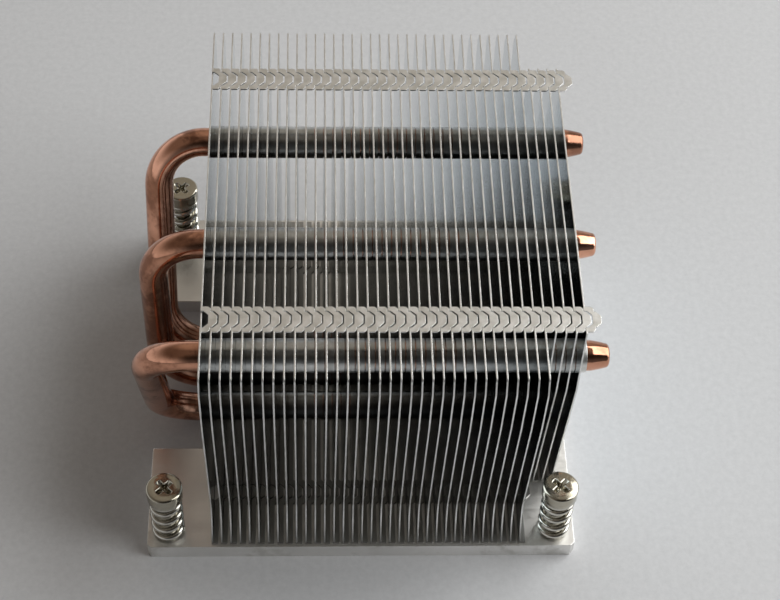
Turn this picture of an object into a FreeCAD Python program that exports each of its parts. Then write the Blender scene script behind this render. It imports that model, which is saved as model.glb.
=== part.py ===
import FreeCAD, Part
import math
import os
import Sketcher

# Passive processor heatsink for a two-unit server, in millimetres.
# +Z is up, +X is right and -Y is the front. The origin is the centre of the contact face, which is
# the flat underside of the base plate. The pipes loop out at the left, and their tips end at the right.

doc = FreeCAD.newDocument("server_cpu_heatsink")

# ---------------------------------------------------------------------------------------------
# Driving sizes
# ---------------------------------------------------------------------------------------------
SIZES = [
    ("overall_height", 64.0, "contact face to fin tops"),
    ("base_side", 88.6, "base plate, square"),
    ("base_thickness", 3.8, "base plate"),
    ("base_corner", 0.8, "cut across each corner of the base plate"),
    ("loop_notch_half_width", 20.0, "notch in the left edge where the pipes come down"),
    ("loop_notch_depth", 12.6, "notch, from the left edge"),
    ("screw_spacing", 80.0, "square screw pattern, both ways"),
    ("fin_pitch", 1.93, "one fin to the next"),
    ("fin_thickness", 0.3, "sheet"),
    ("stack_shift", 0.97, "centre of the full fins, right of the centre line"),
    ("fin_foot_half", 43.6, "half depth of a full fin where it stands on the base"),
    ("fin_waist_half", 40.4, "half depth of a full fin at its waist"),
    ("fin_waist_height", 10.0, "waist above the base plate"),
    ("foot_flare_radius", 18.0, "curve from the foot to the waist"),
    ("fin_shoulder_half", 45.4, "half depth of a full fin where the taper ends"),
    ("fin_shoulder_drop", 15.5, "shoulder below the fin tops"),
    ("fin_crown_half", 46.2, "greatest half depth of a full fin"),
    ("fin_crown_drop", 3.4, "crown below the fin tops"),
    ("fin_top_half", 45.2, "half depth of a full fin at its top, before the corner is rounded"),
    ("fin_corner", 0.9, "round from the top edge of a full fin to its end"),
    ("short_foot_half", 28.6, "half depth of a short fin where it stands on the base"),
    ("short_shoulder_half", 35.0, "greatest half depth of a short fin"),
    ("short_shoulder_drop", 17.6, "that place below the fin tops"),
    ("short_top_half", 34.6, "half length of a short fin's top edge"),
    ("foot_length", 1.3, "folded foot of each fin"),
    ("collar_wall", 0.3, "wall of the drawn collar round each pipe"),
    ("collar_gap", 0.08, "collar end to the next fin"),
    ("end_collar_length", 1.9, "collar on the last fin, past its sheet"),
    ("clasp_spacing", 62.3, "one row of interlocking tabs to the other"),
    ("tab_half_width", 2.95, "half width of a tab across its shoulders"),
    ("tab_gap", 0.07, "tab shoulder to the next fin"),
    ("tab_nick", 0.45, "cut across the outer corner of each shoulder"),
    ("nose_half_width", 1.8, "half width of the nose of a tab"),
    ("nose_flat_half", 0.85, "half width of the flat end of the nose"),
    ("nose_reach", 1.2, "nose past the next fin"),
    ("nose_side", 0.25, "straight side of the nose before it narrows"),
    ("nose_clearance", 0.28, "round the nose in the notch of the next tab"),
    ("nose_lift", 0.06, "nose above the edge that it passes over"),
    ("pipe_diameter", 6.0, "heat pipe"),
    ("pipe_clearance", 0.05, "solder gap round the pipes"),
    ("upper_leg_height", 48.3, "upper legs above the contact face"),
    ("lower_leg_sink", 0.2, "axis of the lower legs below the top of the base plate"),
    ("upper_leg_spacing", 28.0, "upper legs, side by side"),
    ("lower_leg_spacing", 9.0, "lower legs, side by side"),
    ("loop_reach", 43.0, "axis of the loops, left of the centre line"),
    ("bend_radius", 10.0, "pipe bends, on the axis"),
    ("tip_stand_out", 4.6, "pipe tips past the collar of the last fin"),
    ("tip_taper_length", 3.6, "swaged taper at each end of a pipe"),
    ("tip_flat_diameter", 4.0, "end face of a pipe"),
    ("tip_round", 0.8, "round between taper and end face"),
    ("lower_leg_reach", 37.0, "hidden end of the lower legs, right of the centre line"),
    ("head_top_height", 16.3, "screw head above the base plate, not fastened"),
    ("head_diameter", 7.3, "screw head"),
    ("head_height", 3.3, "screw head"),
    ("head_chamfer", 0.35, "upper edge of the screw head"),
    ("recess_span", 3.7, "cross recess, over the arms"),
    ("recess_arm_width", 0.95, "cross recess"),
    ("recess_depth", 2.0, "cross recess"),
    ("shank_diameter", 3.8, "plain shank"),
    ("shank_clearance", 0.4, "round the shank in the base plate"),
    ("thread_diameter", 4.0, "fastening thread"),
    ("tip_inset", 0.3, "screw tip above the contact face, not fastened"),
    ("tip_chamfer", 0.4, "screw tip"),
    ("clip_neck_diameter", 3.0, "groove in the shank for the retaining clip"),
    ("clip_diameter", 6.2, "retaining clip"),
    ("clip_thickness", 0.6, "retaining clip"),
    ("clip_play", 0.05, "retaining clip to its groove and to its seat"),
    ("clip_open_angle", 70.0, "mouth of the retaining clip, in degrees"),
    ("clip_pocket_diameter", 7.2, "recess under each corner of the base plate"),
    ("clip_pocket_depth", 2.4, "recess under each corner of the base plate"),
    ("spring_diameter", 6.8, "spring, outside"),
    ("spring_wire", 1.25, "spring wire"),
    ("spring_turns", 4.0, "spring, end to end"),
    ("spring_end_gap", 0.03, "spring to the plate and to the head"),
]

FULL_FINS = 34
SHORT_FINS = 4
WIRE_SIDES = 8
RECESS_TURN = 45

sizes = doc.addObject("Spreadsheet::Sheet", "sizes")
for row, (name, value, meaning) in enumerate(SIZES, start=1):
    sizes.set(f"A{row}", name)
    sizes.set(f"B{row}", str(value))
    sizes.set(f"C{row}", meaning)
    sizes.setAlias(f"B{row}", name)
doc.recompute()

# Lengths that follow from the driving sizes, as expressions
FOLD_HEIGHT = "(sizes.overall_height - sizes.fin_thickness)"
HALF_PATTERN = "(sizes.screw_spacing / 2)"
HOLE_RADIUS = "(sizes.pipe_diameter / 2 + sizes.pipe_clearance)"
COLLAR_RADIUS = f"({HOLE_RADIUS} + sizes.collar_wall)"
LOWER_LEG_HEIGHT = "(sizes.base_thickness - sizes.lower_leg_sink)"
NOTCH_HALF = "(sizes.nose_half_width + sizes.nose_clearance / 2)"
SADDLE_HALF = f"sqrt(pow({COLLAR_RADIUS}; 2) - pow(sizes.lower_leg_sink; 2))"
LEG_RISE = f"(sizes.upper_leg_height - {LOWER_LEG_HEIGHT})"
LEG_SPREAD = "(sizes.upper_leg_spacing - sizes.lower_leg_spacing)"
LAST_FIN = f"(sizes.stack_shift + sizes.fin_pitch * {SHORT_FINS + (FULL_FINS - 1) / 2})"
TIP_REACH = f"({LAST_FIN} + sizes.fin_thickness / 2 + sizes.end_collar_length + sizes.tip_stand_out)"
HEAD_SEAT = "(sizes.base_thickness + sizes.head_top_height - sizes.head_height)"
CLIP_TOP = "(sizes.clip_pocket_depth - sizes.clip_play)"
CLIP_BOTTOM = f"({CLIP_TOP} - sizes.clip_thickness)"
COIL_RADIUS = "((sizes.spring_diameter - sizes.spring_wire) / 2)"
COIL_RISE = f"({HEAD_SEAT} - sizes.base_thickness - sizes.spring_wire - 2 * sizes.spring_end_gap)"


# ---------------------------------------------------------------------------------------------
# Sketch and feature helpers
# ---------------------------------------------------------------------------------------------
def number(expression):
    """The present value of an expression of the sheet's sizes."""
    return float(sizes.evalExpression(expression))


def minus(expression):
    return f"-({expression})"


def new_body(label):
    body = doc.addObject("PartDesign::Body", label)
    body.Label = label
    return body


def new_sketch(body, name, plane, lift="0", raised="0"):
    """A sketch on a plane of the body's origin, lifted along its normal and raised along its second axis."""
    sketch = body.newObject("Sketcher::SketchObject", name)
    support = [feature for feature in body.Origin.OriginFeatures if feature.Role == plane][0]
    sketch.AttachmentSupport = [(support, "")]
    sketch.MapMode = "FlatFace"
    sketch.setExpression("AttachmentOffset.Base.z", lift)
    sketch.setExpression("AttachmentOffset.Base.y", raised)
    return sketch


def bind(sketch, kind, references, expression):
    """Adds a measured constraint and ties its value to the sheet."""
    index = sketch.addConstraint(Sketcher.Constraint(kind, *references, number(expression)))
    sketch.setExpression(f"Constraints[{index}]", expression)


def pin(sketch, edge, end, across, up):
    """Holds one point of a sketch at a place given by two expressions."""
    bind(sketch, "DistanceX", (-1, 1, edge, end), across)
    bind(sketch, "DistanceY", (-1, 1, edge, end), up)


def arc_between(start, finish, radius, turn):
    """The shorter arc from start to finish that turns left or right, and which of its ends is the start."""
    chord = finish - start
    middle = (start + finish) * 0.5
    height = math.sqrt(max(radius ** 2 - (chord.Length / 2) ** 2, 0.0))
    side = FreeCAD.Vector(-chord.y, chord.x, 0).normalize()
    centre = middle + side * height if turn == "left" else middle - side * height
    first, last = (start, finish) if turn == "left" else (finish, start)
    first_angle = math.atan2(first.y - centre.y, first.x - centre.x)
    last_angle = math.atan2(last.y - centre.y, last.x - centre.x)
    if last_angle < first_angle:
        last_angle += 2 * math.pi
    circle = Part.Circle(centre, FreeCAD.Vector(0, 0, 1), radius)
    return Part.ArcOfCircle(circle, first_angle, last_angle), (1, 2) if turn == "left" else (2, 1)


def draw_path(sketch, corners, closed=True):
    """Draws lines from corner to corner. A corner is (across, up), in expressions.
    With a radius and a turn added, an arc leads to it instead of a line."""
    places = [FreeCAD.Vector(number(corner[0]), number(corner[1]), 0) for corner in corners]
    steps = list(range(1, len(corners))) + ([0] if closed else [])
    ends = []
    for step in steps:
        start = places[step - 1]
        if len(corners[step]) == 2:
            edge = sketch.addGeometry(Part.LineSegment(start, places[step]))
            ends.append((edge, 1, 2))
        else:
            radius, turn = corners[step][2:]
            arc, (arc_start, arc_finish) = arc_between(start, places[step], number(radius), turn)
            edge = sketch.addGeometry(arc)
            ends.append((edge, arc_start, arc_finish))
            bind(sketch, "Radius", (edge,), radius)
    for (edge, _, finish), (following, start, _) in zip(ends, ends[1:]):
        sketch.addConstraint(Sketcher.Constraint("Coincident", edge, finish, following, start))
    if closed:
        sketch.addConstraint(Sketcher.Constraint("Coincident", ends[-1][0], ends[-1][2], ends[0][0], ends[0][1]))
    for (edge, _, finish), step in zip(ends, steps):
        pin(sketch, edge, finish, corners[step][0], corners[step][1])
    if not closed:
        pin(sketch, ends[0][0], ends[0][1], corners[0][0], corners[0][1])


def draw_circle(sketch, across, up, radius):
    centre = FreeCAD.Vector(number(across), number(up), 0)
    edge = sketch.addGeometry(Part.Circle(centre, FreeCAD.Vector(0, 0, 1), number(radius)))
    bind(sketch, "Radius", (edge,), radius)
    pin(sketch, edge, 3, across, up)


def pad(body, sketch, length):
    feature = body.newObject("PartDesign::Pad", sketch.Name + "_pad")
    feature.Profile = sketch
    feature.setExpression("Length", length)
    sketch.Visibility = False
    return feature


def pocket(body, sketch, depth=None, behind=None):
    """Cuts from the sketch along its normal, to a depth or right through, and to a second depth behind it."""
    feature = body.newObject("PartDesign::Pocket", sketch.Name + "_pocket")
    feature.Profile = sketch
    feature.Reversed = True
    if depth is None:
        feature.Type = "ThroughAll"
    elif behind is None:
        feature.setExpression("Length", depth)
    else:
        feature.SideType = "Two sides"
        feature.setExpression("Length", depth)
        feature.setExpression("Length2", behind)
    sketch.Visibility = False
    return feature


def revolve(body, sketch, axis, angle="360"):
    feature = body.newObject("PartDesign::Revolution", sketch.Name + "_turned")
    feature.Profile = sketch
    feature.ReferenceAxis = (sketch, [axis])
    feature.setExpression("Angle", angle)
    sketch.Visibility = False
    return feature


def place(piece, across="0", deep="0", up="0"):
    piece.setExpression("Placement.Base.x", across)
    piece.setExpression("Placement.Base.y", deep)
    piece.setExpression("Placement.Base.z", up)


# ---------------------------------------------------------------------------------------------
# Base plate: flat plate with a notch for the pipe loops and three grooves for the lower legs
# ---------------------------------------------------------------------------------------------
def make_base_plate():
    body = new_body("base_plate")
    side = "(sizes.base_side / 2)"
    cut = f"({side} - sizes.base_corner)"
    notch_floor = f"({side} - sizes.loop_notch_depth)"
    notch = "sizes.loop_notch_half_width"
    outline = new_sketch(body, "plate_outline", "XY_Plane")
    draw_path(outline, [
        (minus(cut), minus(side)), (cut, minus(side)), (side, minus(cut)), (side, cut),
        (cut, side), (minus(cut), side), (minus(side), cut), (minus(side), notch),
        (minus(notch_floor), notch), (minus(notch_floor), minus(notch)),
        (minus(side), minus(notch)), (minus(side), minus(cut)),
    ])
    pad(body, outline, "sizes.base_thickness")

    grooves = new_sketch(body, "pipe_grooves", "YZ_Plane")
    for row in (-1, 0, 1):
        draw_circle(grooves, f"{row} * sizes.lower_leg_spacing", LOWER_LEG_HEIGHT, HOLE_RADIUS)
    pocket(body, grooves, "sizes.lower_leg_reach + sizes.pipe_clearance", side)

    holes = new_sketch(body, "screw_holes", "XY_Plane")
    clip_pockets = new_sketch(body, "clip_pockets", "XY_Plane")
    for _, side_x, side_y in CORNERS:
        across = f"{side_x} * {HALF_PATTERN}"
        deep = f"{side_y} * {HALF_PATTERN}"
        draw_circle(holes, across, deep, "sizes.shank_diameter / 2 + sizes.shank_clearance")
        draw_circle(clip_pockets, across, deep, "sizes.clip_pocket_diameter / 2")
    pocket(body, holes)
    pocket(body, clip_pockets, "sizes.clip_pocket_depth")
    return body


# ---------------------------------------------------------------------------------------------
# Fins: one sheet each, with a folded foot, a drawn collar round each upper leg, a half collar
# over each lower leg, and interlocking tabs folded from the top edge and from the foot
# ---------------------------------------------------------------------------------------------
def tab_edge(row, root):
    """The free edge of a tab seen from above, between two points on the line that it grows from:
    two shoulders that reach the next fin, and a nose that passes over or under it."""
    middle = f"({row} * sizes.clasp_spacing / 2)"
    shoulder = "(sizes.fin_pitch - sizes.tab_gap)"
    nose_turn = "(sizes.fin_pitch + sizes.nose_side)"
    nose_end = "(sizes.fin_pitch + sizes.nose_reach)"
    half = [
        (root, "sizes.tab_half_width"),
        (f"{shoulder} - sizes.tab_nick", "sizes.tab_half_width"),
        (shoulder, "sizes.tab_half_width - sizes.tab_nick"),
        (shoulder, "sizes.nose_half_width"),
        (nose_turn, "sizes.nose_half_width"),
        (nose_end, "sizes.nose_flat_half"),
    ]
    below = [(across, f"{middle} - ({deep})") for across, deep in half]
    above = [(across, f"{middle} + ({deep})") for across, deep in reversed(half)]
    return below + above


def notch_edge(row):
    """The notch at a tab's fold, which takes the nose of the fin before."""
    middle = f"({row} * sizes.clasp_spacing / 2)"
    notch_turn = "(sizes.nose_side + sizes.nose_clearance)"
    notch_end = "(sizes.nose_reach + sizes.nose_clearance)"
    notch_flat = "(sizes.nose_flat_half + sizes.nose_clearance / 2)"
    half = [("0", NOTCH_HALF), (notch_turn, NOTCH_HALF), (notch_end, notch_flat)]
    above = [(across, f"{middle} + ({deep})") for across, deep in half]
    below = [(across, f"{middle} - ({deep})") for across, deep in reversed(half)]
    return above + below


def plain_foot(half):
    """The folded foot seen from above, without tabs."""
    return [("0", minus(half)), ("sizes.foot_length", minus(half)), ("sizes.foot_length", half), ("0", half)]


def clasped_foot(half):
    """The folded foot of a full fin, with a tab and a notch below each tab of the top edge."""
    start, finish = plain_foot(half)[:2], plain_foot(half)[2:]
    tabs = tab_edge(-1, "sizes.foot_length") + tab_edge(1, "sizes.foot_length")
    return start + tabs + finish + notch_edge(1) + notch_edge(-1)


def clasp_slot(edge, depth):
    """The cut in half of a sheet's top or bottom edge that a nose passes through, from the end inwards."""
    middle = "(sizes.clasp_spacing / 2)"
    return [
        (f"{middle} + {NOTCH_HALF}", edge), (f"{middle} + {NOTCH_HALF}", f"{edge} + ({depth})"),
        (f"{middle} - {NOTCH_HALF}", f"{edge} + ({depth})"), (f"{middle} - {NOTCH_HALF}", edge),
    ]


def full_fin_side():
    """Half of a full fin's outline, from the foot up to the top corner."""
    foot_slot = clasp_slot("sizes.base_thickness", "sizes.fin_thickness + sizes.nose_lift")
    return foot_slot[::-1] + [
        ("sizes.fin_foot_half", "sizes.base_thickness"),
        ("sizes.fin_waist_half", "sizes.base_thickness + sizes.fin_waist_height",
         "sizes.foot_flare_radius", "right"),
        ("sizes.fin_shoulder_half", "sizes.overall_height - sizes.fin_shoulder_drop"),
        ("sizes.fin_crown_half", "sizes.overall_height - sizes.fin_crown_drop"),
        ("sizes.fin_top_half", "sizes.overall_height - sizes.fin_corner"),
        ("sizes.fin_top_half - sizes.fin_corner", "sizes.overall_height", "sizes.fin_corner", "left"),
    ]


def short_fin_side():
    """Half of a short fin's outline. It is cut back to leave room for the right-hand screws."""
    return [
        ("sizes.short_foot_half", "sizes.base_thickness"),
        ("sizes.short_shoulder_half", "sizes.overall_height - sizes.short_shoulder_drop"),
        ("sizes.short_top_half", "sizes.overall_height"),
    ]


def mirrored(corners):
    """The same outline on the other side, run the other way, each arc moved to its own stretch."""
    flipped = []
    arc = ()
    for corner in reversed(corners):
        flipped.append((minus(corner[0]), corner[1]) + arc)
        arc = corner[2:]
    return flipped


def make_fin(label, side, foot_outline, collar_length, saddled=True):
    body = new_body(label)
    sheet = new_sketch(body, label + "_sheet", "YZ_Plane")
    rear = side + clasp_slot("sizes.overall_height", "-sizes.fin_thickness - sizes.nose_lift")
    draw_path(sheet, rear + mirrored(rear))
    pad(body, sheet, "sizes.fin_thickness")

    tabs = new_sketch(body, label + "_tabs", "XY_Plane", lift=FOLD_HEIGHT)
    for row in (-1, 1):
        draw_path(tabs, tab_edge(row, "0") + notch_edge(row))
    pad(body, tabs, "sizes.fin_thickness")

    foot = new_sketch(body, label + "_foot", "XY_Plane", lift="sizes.base_thickness")
    draw_path(foot, foot_outline)
    pad(body, foot, "sizes.fin_thickness")

    collars = new_sketch(body, label + "_collars", "YZ_Plane")
    bores = new_sketch(body, label + "_bores", "YZ_Plane")
    for row in (-1, 0, 1):
        upper = f"{row} * sizes.upper_leg_spacing"
        lower = f"{row} * sizes.lower_leg_spacing"
        draw_circle(collars, upper, "sizes.upper_leg_height", COLLAR_RADIUS)
        draw_circle(bores, upper, "sizes.upper_leg_height", HOLE_RADIUS)
        draw_circle(bores, lower, LOWER_LEG_HEIGHT, HOLE_RADIUS)
        if saddled:
            draw_path(collars, [
                (f"{lower} - {SADDLE_HALF}", "sizes.base_thickness", COLLAR_RADIUS, "left"),
                (f"{lower} + {SADDLE_HALF}", "sizes.base_thickness"),
            ])
    pad(body, collars, collar_length)
    pocket(body, bores)
    return body


def stack_fins():
    """Places a copy of the right fin at each step of the stack, from left to right."""
    collar_length = "sizes.fin_pitch - sizes.collar_gap"
    full = make_fin("full_fin", full_fin_side(), clasped_foot("sizes.fin_foot_half"), collar_length)
    short = make_fin("short_fin", short_fin_side(), plain_foot("sizes.short_foot_half"), collar_length)
    last = make_fin("last_fin", short_fin_side(), plain_foot("sizes.short_foot_half"),
                    "sizes.fin_thickness + sizes.end_collar_length", saddled=False)
    first_place = f"(sizes.stack_shift - sizes.fin_thickness / 2 - sizes.fin_pitch * {(FULL_FINS - 1) / 2})"
    count = FULL_FINS + SHORT_FINS
    fins = []
    for index in range(count):
        pattern = full if index < FULL_FINS else short
        if index == count - 1:
            pattern = last
        label = f"fin_{index + 1:02d}"
        fin = doc.addObject("Part::Compound", label)
        fin.Label = label
        fin.Links = [pattern]
        place(fin, f"{first_place} + {index} * sizes.fin_pitch")
        fins.append(fin)
    return fins


# ---------------------------------------------------------------------------------------------
# Heat pipes: each is one tube bent into a C that lies in a plane of its own
# ---------------------------------------------------------------------------------------------
def swaged_end(body, name, reach, raised):
    """The tapered end of a leg, turned about the leg's axis."""
    radius = "(sizes.pipe_diameter / 2)"
    flat = "(sizes.tip_flat_diameter / 2)"
    start = f"({reach} - sizes.tip_taper_length)"
    profile = new_sketch(body, name, "XZ_Plane", raised=raised)
    draw_path(profile, [
        (start, "0"), (reach, "0"), (reach, f"{flat} - sizes.tip_round / 2"),
        (f"{reach} - sizes.tip_round", f"{flat} + sizes.tip_round / 2", "sizes.tip_round * 1.3", "left"),
        (start, radius),
    ])
    revolve(body, profile, "H_Axis")


def make_heat_pipe(label, row):
    """The lower leg lies on the body's own X axis, and the upper leg runs above it by the rise."""
    body = new_body(label)
    spread = f"({row} * {LEG_SPREAD})"
    rise = f"sqrt(pow({spread}; 2) + pow({LEG_RISE}; 2))"
    upper_start = f"({TIP_REACH} - sizes.tip_taper_length)"
    lower_end = "(sizes.lower_leg_reach - sizes.tip_taper_length)"
    bend = "(-sizes.loop_reach + sizes.bend_radius)"
    loop = "-sizes.loop_reach"
    route = new_sketch(body, label + "_route", "XZ_Plane")
    draw_path(route, [
        (upper_start, rise), (bend, rise),
        (loop, f"{rise} - sizes.bend_radius", "sizes.bend_radius", "left"),
        (loop, "sizes.bend_radius"),
        (bend, "0", "sizes.bend_radius", "left"), (lower_end, "0"),
    ], closed=False)
    section = new_sketch(body, label + "_section", "YZ_Plane", lift=upper_start)
    draw_circle(section, "0", rise, "sizes.pipe_diameter / 2")
    tube = body.newObject("PartDesign::AdditivePipe", label + "_tube")
    tube.Profile = section
    tube.Spine = route
    section.Visibility = False
    route.Visibility = False
    swaged_end(body, label + "_tip", TIP_REACH, rise)
    swaged_end(body, label + "_hidden_end", "sizes.lower_leg_reach", "0")
    if row:
        body.Placement.Rotation = FreeCAD.Rotation(FreeCAD.Vector(-row, 0, 0), 20)
        body.setExpression("Placement.Rotation.Angle", f"atan({LEG_SPREAD} / {LEG_RISE})")
    place(body, deep=f"{row} * sizes.lower_leg_spacing", up=LOWER_LEG_HEIGHT)
    return body


# ---------------------------------------------------------------------------------------------
# Captive fastener at each corner: screw, spring, and the clip that keeps the screw in the plate
# ---------------------------------------------------------------------------------------------
CORNERS = [("front_left", -1, -1), ("front_right", 1, -1), ("rear_left", -1, 1), ("rear_right", 1, 1)]


def place_at_corner(body, side_x, side_y):
    place(body, f"{side_x} * {HALF_PATTERN}", f"{side_y} * {HALF_PATTERN}")


def make_screw(label):
    body = new_body(label)
    head = "(sizes.head_diameter / 2)"
    top = "(sizes.base_thickness + sizes.head_top_height)"
    shank = "(sizes.shank_diameter / 2)"
    neck = "(sizes.clip_neck_diameter / 2)"
    thread = "(sizes.thread_diameter / 2)"
    neck_top = f"({CLIP_TOP} + sizes.clip_play)"
    neck_bottom = f"({CLIP_BOTTOM} - sizes.clip_play)"
    profile = new_sketch(body, label + "_profile", "XZ_Plane")
    draw_path(profile, [
        ("0", top), ("0", "sizes.tip_inset"),
        (f"{thread} - sizes.tip_chamfer", "sizes.tip_inset"),
        (thread, "sizes.tip_inset + sizes.tip_chamfer"), (thread, neck_bottom),
        (neck, neck_bottom), (neck, neck_top), (shank, neck_top), (shank, HEAD_SEAT),
        (head, HEAD_SEAT), (head, f"{top} - sizes.head_chamfer"),
        (f"{head} - sizes.head_chamfer", top),
    ])
    revolve(body, profile, "V_Axis")

    recess = new_sketch(body, label + "_recess", "XY_Plane", lift=f"{top} - sizes.recess_depth")
    arm = "(sizes.recess_span / 2)"
    half = "(sizes.recess_arm_width / 2)"
    quarter = [(arm, minus(half)), (arm, half), (half, half)]
    corners = []
    for turn in range(4):
        for across, up in quarter:
            corners.append([(across, up), (minus(up), across), (minus(across), minus(up)), (up, minus(across))][turn])
    draw_path(recess, corners)
    pocket(body, recess)
    return body


def make_retaining_clip(label):
    body = new_body(label)
    inner = "(sizes.clip_neck_diameter / 2 + sizes.clip_play)"
    outer = "(sizes.clip_diameter / 2)"
    profile = new_sketch(body, label + "_profile", "XZ_Plane")
    draw_path(profile, [(inner, CLIP_BOTTOM), (outer, CLIP_BOTTOM), (outer, CLIP_TOP), (inner, CLIP_TOP)])
    revolve(body, profile, "V_Axis", "360 - sizes.clip_open_angle")
    return body


def make_spring(label):
    """A coil of wire from the plate up to the screw head. The wire is eight-sided."""
    body = new_body(label)
    bottom = "(sizes.base_thickness + sizes.spring_end_gap + sizes.spring_wire / 2)"
    wire = new_sketch(body, label + "_wire", "XZ_Plane")
    corners = []
    for side in range(WIRE_SIDES):
        angle = 360 * (side + 0.5) / WIRE_SIDES
        corner = f"sizes.spring_wire / 2 / cos({180 / WIRE_SIDES} deg)"
        corners.append((f"{COIL_RADIUS} + {corner} * cos({angle} deg)", f"{bottom} + {corner} * sin({angle} deg)"))
    draw_path(wire, corners)
    coil = body.newObject("PartDesign::AdditiveHelix", label + "_coil")
    coil.Profile = wire
    coil.ReferenceAxis = (wire, ["V_Axis"])
    coil.Mode = "height-turns-angle"
    coil.setExpression("Height", COIL_RISE)
    coil.setExpression("Turns", "sizes.spring_turns")
    wire.Visibility = False
    return body


# ---------------------------------------------------------------------------------------------
# The whole part
# ---------------------------------------------------------------------------------------------
pieces = [make_base_plate()]
pieces += stack_fins()
for pipe_name, pipe_row in (("front", -1), ("middle", 0), ("rear", 1)):
    pieces.append(make_heat_pipe(f"heat_pipe_{pipe_name}", pipe_row))
for corner_name, corner_x, corner_y in CORNERS:
    screw = make_screw(f"screw_{corner_name}")
    screw.Placement.Rotation = FreeCAD.Rotation(FreeCAD.Vector(0, 0, 1), RECESS_TURN)
    clip = make_retaining_clip(f"retaining_clip_{corner_name}")
    spring = make_spring(f"spring_{corner_name}")
    for fastener in (screw, clip, spring):
        place_at_corner(fastener, corner_x, corner_y)
        pieces.append(fastener)

doc.recompute()

for item in doc.Objects:
    if "Invalid" in item.State or "Error" in item.State:
        raise RuntimeError(f"{item.Label} was not built: {item.State}")
for piece in pieces:
    if piece.Shape.isNull() or not piece.Shape.isValid():
        raise RuntimeError(f"{piece.Label} has no valid shape")

os.makedirs("parts", exist_ok=True)
for piece in pieces:
    piece.Shape.exportStep(f"parts/{piece.Label}.step")
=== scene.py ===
# %% [markdown]
# # A passive heatsink for a server processor
# The real object is an aluminium base plate, three copper heat pipes bent
# into loops, thirty-eight thin aluminium fins threaded on the pipes, and a
# sprung screw in each corner of the plate. The solids come from the packed
# CAD model. This lesson gives them their finish, and builds the small round
# things (pipes, springs, screws) again as smoother meshes. Everything is in
# metres, in the frame of the CAD model: X along the pipes, Y along the fins,
# Z up from the face that touches the processor.

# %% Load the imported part
import bmesh
import bpy
import math
from mathutils import Matrix, Vector


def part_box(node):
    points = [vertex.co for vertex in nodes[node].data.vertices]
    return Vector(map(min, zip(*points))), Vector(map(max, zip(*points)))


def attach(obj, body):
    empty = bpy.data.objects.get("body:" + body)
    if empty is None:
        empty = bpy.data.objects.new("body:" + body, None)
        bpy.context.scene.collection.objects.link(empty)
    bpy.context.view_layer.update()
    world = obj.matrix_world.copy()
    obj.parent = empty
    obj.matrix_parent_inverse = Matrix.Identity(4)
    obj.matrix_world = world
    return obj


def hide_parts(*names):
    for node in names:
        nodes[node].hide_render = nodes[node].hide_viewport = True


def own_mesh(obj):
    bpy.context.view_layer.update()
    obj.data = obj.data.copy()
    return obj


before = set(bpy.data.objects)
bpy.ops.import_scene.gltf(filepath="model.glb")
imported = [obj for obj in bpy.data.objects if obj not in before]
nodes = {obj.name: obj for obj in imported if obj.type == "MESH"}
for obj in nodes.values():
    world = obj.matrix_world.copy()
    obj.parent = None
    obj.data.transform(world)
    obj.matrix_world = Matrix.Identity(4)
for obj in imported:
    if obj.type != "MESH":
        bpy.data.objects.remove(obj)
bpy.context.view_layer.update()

# %% [markdown]
# ## Units and names
# One millimetre is the handy unit here, so `MM` turns a length in
# millimetres into metres. The fins are numbered, and the corners have names,
# and both are read from the frame rather than typed again.

# %% Units and names
MM = 0.001
FIN_NODES = sorted(name for name in nodes if name.startswith("fin_"))
PIPE_NODES = sorted(name for name in nodes if name.startswith("heat_pipe_"))
CORNERS = sorted(name[len("spring_"):] for name in nodes
                 if name.startswith("spring_"))
print(len(FIN_NODES), "fins,", len(PIPE_NODES), "pipes, corners:", CORNERS)

# %% [markdown]
# ## The camera
# A heatsink is shown best from above and a little to one side, with a long
# lens, so that the fins stay nearly parallel. A camera could be typed in as a
# place and three angles. It is easier to think of walking round the object
# with it: a point to look at, how far round and how high to stand, how far
# away, and how much the camera leans.

# %% Camera
TARGET = Vector((6.07, -0.06, 30.0)) * MM
CAMERA_AZIMUTH = math.radians(4.04)
CAMERA_HEIGHT_ANGLE = math.radians(51.91)
CAMERA_LEAN = math.radians(3.22)
CAMERA_DISTANCE = 383.2 * MM
CAMERA_LENS = 83.94
CAMERA_SENSOR = 36


def make_camera():
    """A camera that looks at TARGET from the front and above."""
    ahead = Vector((
        math.sin(CAMERA_AZIMUTH) * math.cos(CAMERA_HEIGHT_ANGLE),
        math.cos(CAMERA_AZIMUTH) * math.cos(CAMERA_HEIGHT_ANGLE),
        -math.sin(CAMERA_HEIGHT_ANGLE)))
    level = Vector((math.cos(CAMERA_AZIMUTH), -math.sin(CAMERA_AZIMUTH), 0))
    upright = level.cross(ahead)
    right = level * math.cos(CAMERA_LEAN) + upright * math.sin(CAMERA_LEAN)
    up = upright * math.cos(CAMERA_LEAN) - level * math.sin(CAMERA_LEAN)
    data = bpy.data.cameras.new("camera")
    data.lens = CAMERA_LENS
    data.sensor_width = CAMERA_SENSOR
    camera = bpy.data.objects.new("camera", data)
    turn = Matrix((right, up, -ahead)).transposed()
    camera.matrix_world = (Matrix.Translation(TARGET - ahead * CAMERA_DISTANCE)
                           @ turn.to_4x4())
    bpy.context.scene.collection.objects.link(camera)
    return camera


bpy.context.scene.camera = make_camera()
print("camera at", bpy.context.scene.camera.matrix_world.translation[:])

# %% [markdown]
# ## Small helpers for materials
# A procedural material is a graph of nodes. The first helper adds a node,
# and gives each input a fixed value or links it to another node's socket.
# The others wrap the three nodes that come up most: a sum, a range turned
# into another range, and a mix of two colours or numbers. With them, each
# material below reads as a short list of what the surface is made of.

# %% Node helpers


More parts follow.
